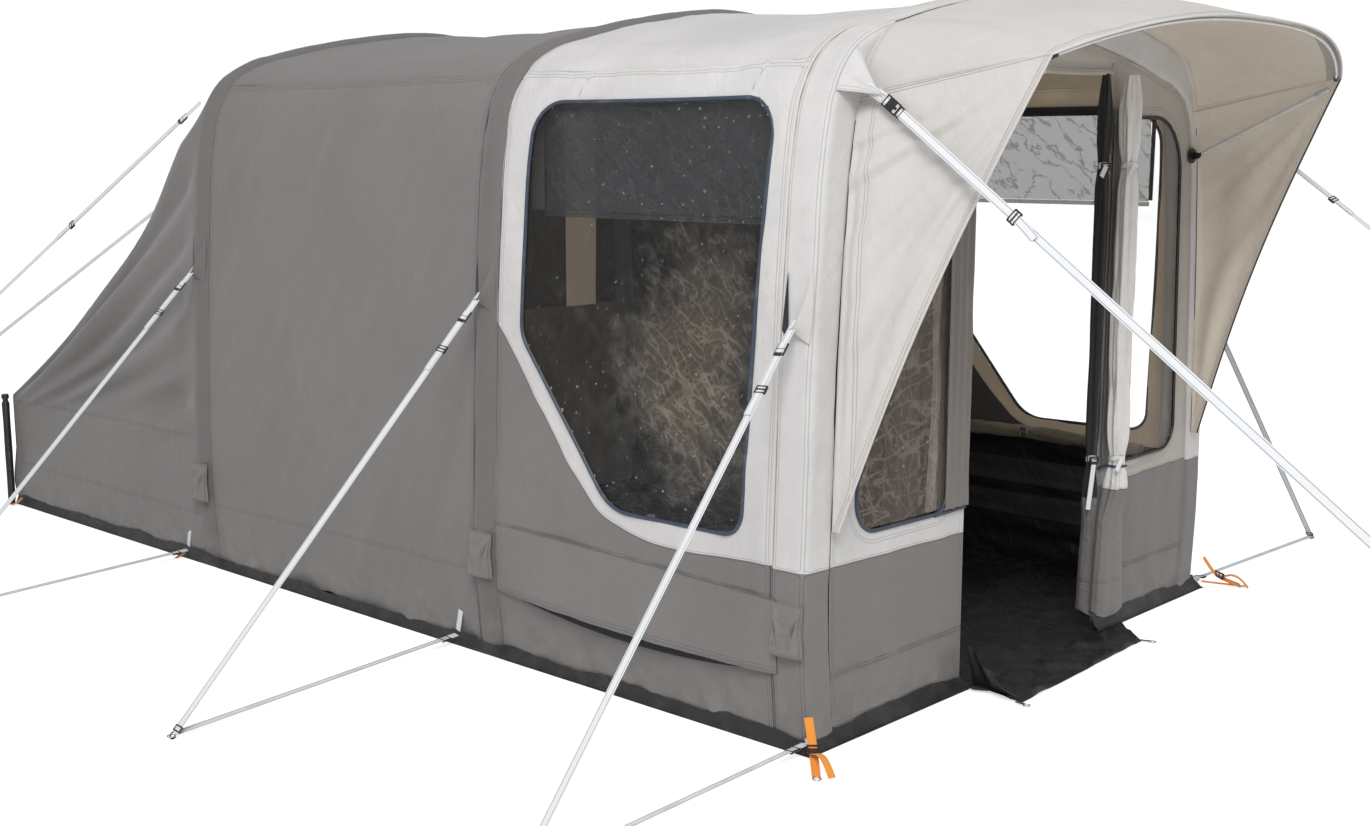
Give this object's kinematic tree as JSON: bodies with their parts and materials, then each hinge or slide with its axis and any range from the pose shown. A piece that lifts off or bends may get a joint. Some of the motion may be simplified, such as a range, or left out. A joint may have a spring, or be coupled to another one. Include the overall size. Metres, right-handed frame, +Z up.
{
  "type": "inflatable family tent",
  "caption": "Tunnel tent on arched air beams, with a sloping bedroom end, big side windows, a tied-back front door and a winged canopy over it.",
  "frame": {"origin": "on the ground, in the middle of the tent's floor, on the groundsheet's underside", "axes": "+Z up, -Y out of the front door, +X to the right-hand side of someone looking in at the door"},
  "size_m": [4.6084, 7.1853, 2.0936],
  "materials": {
    "pale_polyester": "matte",
    "dark_polyester": "matte",
    "warm_polyester": "matte",
    "black_sheet": "satin",
    "clear_film": "gloss",
    "blind_cloth": "matte",
    "beam_film": "satin",
    "black_plastic": "satin",
    "grey_alloy": "satin",
    "mesh_cloth": "matte",
    "white_webbing": "matte"
  },
  "bodies": {
    "tent": {"groundsheet": "black_sheet", "sleeve_front": "pale_polyester", "sleeve_middle": "dark_polyester", "sleeve_rear": "dark_polyester", "air_beam_front": "beam_film", "air_beam_middle": "beam_film", "air_beam_rear": "beam_film", "roof_front": "pale_polyester", "roof_rear": "dark_polyester", "wall_left_front": "pale_polyester", "wall_right_front": "pale_polyester", "wall_left_rear": "dark_polyester", "wall_right_rear": "dark_polyester", "window_left": "clear_film", "window_right": "clear_film", "blind_left": "blind_cloth", "blind_right": "blind_cloth", "front_wall_left": "pale_polyester", "front_wall_right": "pale_polyester", "front_window_left": "clear_film", "front_window_right": "clear_film", "bedroom_roof": "dark_polyester", "bedroom_side_left": "dark_polyester", "bedroom_side_right": "dark_polyester", "corner_pole_left": "black_plastic", "corner_pole_right": "black_plastic", "canopy": "warm_polyester", "canopy_wing_left": "warm_polyester", "canopy_wing_right": "warm_polyester", "canopy_rim_pole": "grey_alloy", "strut_boot_left": "black_plastic", "strut_boot_right": "black_plastic", "door_mesh_roll": "mesh_cloth", "door_outer_roll": "warm_polyester", "guy_left_front": "white_webbing", "guy_left_middle": "white_webbing", "guy_left_rear": "white_webbing", "guy_right_front": "white_webbing", "guy_right_middle": "white_webbing", "guy_right_rear": "white_webbing", "storm_guy_left": "white_webbing", "storm_guy_right": "white_webbing", "rear_guy_left": "white_webbing", "rear_guy_right": "white_webbing"},
    "strut_left": {"canopy_strut_left": "grey_alloy"},
    "strut_right": {"canopy_strut_right": "grey_alloy"},
    "cap_front": {"valve_cap_front": "black_plastic"},
    "cap_middle": {"valve_cap_middle": "black_plastic"},
    "cap_rear": {"valve_cap_rear": "black_plastic"},
    "cover_front": {"valve_cover_front": "dark_polyester"},
    "cover_middle": {"valve_cover_middle": "dark_polyester"},
    "cover_rear": {"valve_cover_rear": "dark_polyester"},
    "bar_left": {"blind_bar_left": "blind_cloth"},
    "bar_right": {"blind_bar_right": "blind_cloth"},
    "adjuster_left_front": {"slider_left_front": "black_plastic"},
    "adjuster_left_middle": {"slider_left_middle": "black_plastic"},
    "adjuster_left_rear": {"slider_left_rear": "black_plastic"},
    "adjuster_right_front": {"slider_right_front": "black_plastic"},
    "adjuster_left_storm": {"slider_left_storm": "black_plastic"},
    "adjuster_right_storm": {"slider_right_storm": "black_plastic"}
  },
  "joints": [
    {"name": "strut_left_hinge", "type": "hinge", "parent": "tent", "child": "strut_left", "pos_m": [-0.965, -2.322, 1.59], "axis": [0.9846, 0.1751, 0], "range_deg": [0, 105]},
    {"name": "strut_right_hinge", "type": "hinge", "parent": "tent", "child": "strut_right", "pos_m": [0.965, -2.322, 1.59], "axis": [0.9846, -0.1751, 0], "range_deg": [0, 105]},
    {"name": "cap_front_screw", "type": "hinge", "parent": "tent", "child": "cap_front", "pos_m": [-1.17015, -2.2425, 0.335], "axis": [-1, 0, 0], "range_deg": [0, 270]},
    {"name": "cap_middle_screw", "type": "hinge", "parent": "tent", "child": "cap_middle", "pos_m": [-1.19015, -1, 0.335], "axis": [-1, 0, 0], "range_deg": [0, 270]},
    {"name": "cap_rear_screw", "type": "hinge", "parent": "tent", "child": "cap_rear", "pos_m": [-1.19015, 0.68, 0.335], "axis": [-1, 0, 0], "range_deg": [0, 270]},
    {"name": "cover_front_flap", "type": "hinge", "parent": "tent", "child": "cover_front", "pos_m": [-1.17015, -2.2425, 0.412], "axis": [0, 1, 0], "range_deg": [0, 110]},
    {"name": "cover_middle_flap", "type": "hinge", "parent": "tent", "child": "cover_middle", "pos_m": [-1.19015, -1, 0.412], "axis": [0, 1, 0], "range_deg": [0, 110]},
    {"name": "cover_rear_flap", "type": "hinge", "parent": "tent", "child": "cover_rear", "pos_m": [-1.19015, 0.68, 0.412], "axis": [0, 1, 0], "range_deg": [0, 110]},
    {"name": "blind_left_drop", "type": "slide", "parent": "tent", "child": "bar_left", "axis": [0, 0, 1], "range_m": [-0.84, 0.27], "deforming": ["blind_left"]},
    {"name": "blind_right_drop", "type": "slide", "parent": "tent", "child": "bar_right", "axis": [0, 0, 1], "range_m": [-0.84, 0.27], "deforming": ["blind_right"]},
    {"name": "adjust_left_front", "type": "slide", "parent": "tent", "child": "adjuster_left_front", "axis": [-0.6732, -0.0495, -0.7378], "range_m": [-0.08, 0.9]},
    {"name": "adjust_left_middle", "type": "slide", "parent": "tent", "child": "adjuster_left_middle", "axis": [-0.6839, 0.0347, -0.7288], "range_m": [-0.08, 0.9]},
    {"name": "adjust_left_rear", "type": "slide", "parent": "tent", "child": "adjuster_left_rear", "axis": [-0.6834, 0.0504, -0.7283], "range_m": [-0.08, 0.9]},
    {"name": "adjust_right_front", "type": "slide", "parent": "tent", "child": "adjuster_right_front", "axis": [0.6732, -0.0495, -0.7378], "range_m": [-0.08, 0.9]},
    {"name": "adjust_left_storm", "type": "slide", "parent": "tent", "child": "adjuster_left_storm", "axis": [-0.0119, -0.8065, -0.5912], "range_m": [-0.38, 1.2]},
    {"name": "adjust_right_storm", "type": "slide", "parent": "tent", "child": "adjuster_right_storm", "axis": [0.0119, -0.8065, -0.5912], "range_m": [-0.38, 1.2]}
  ]
}
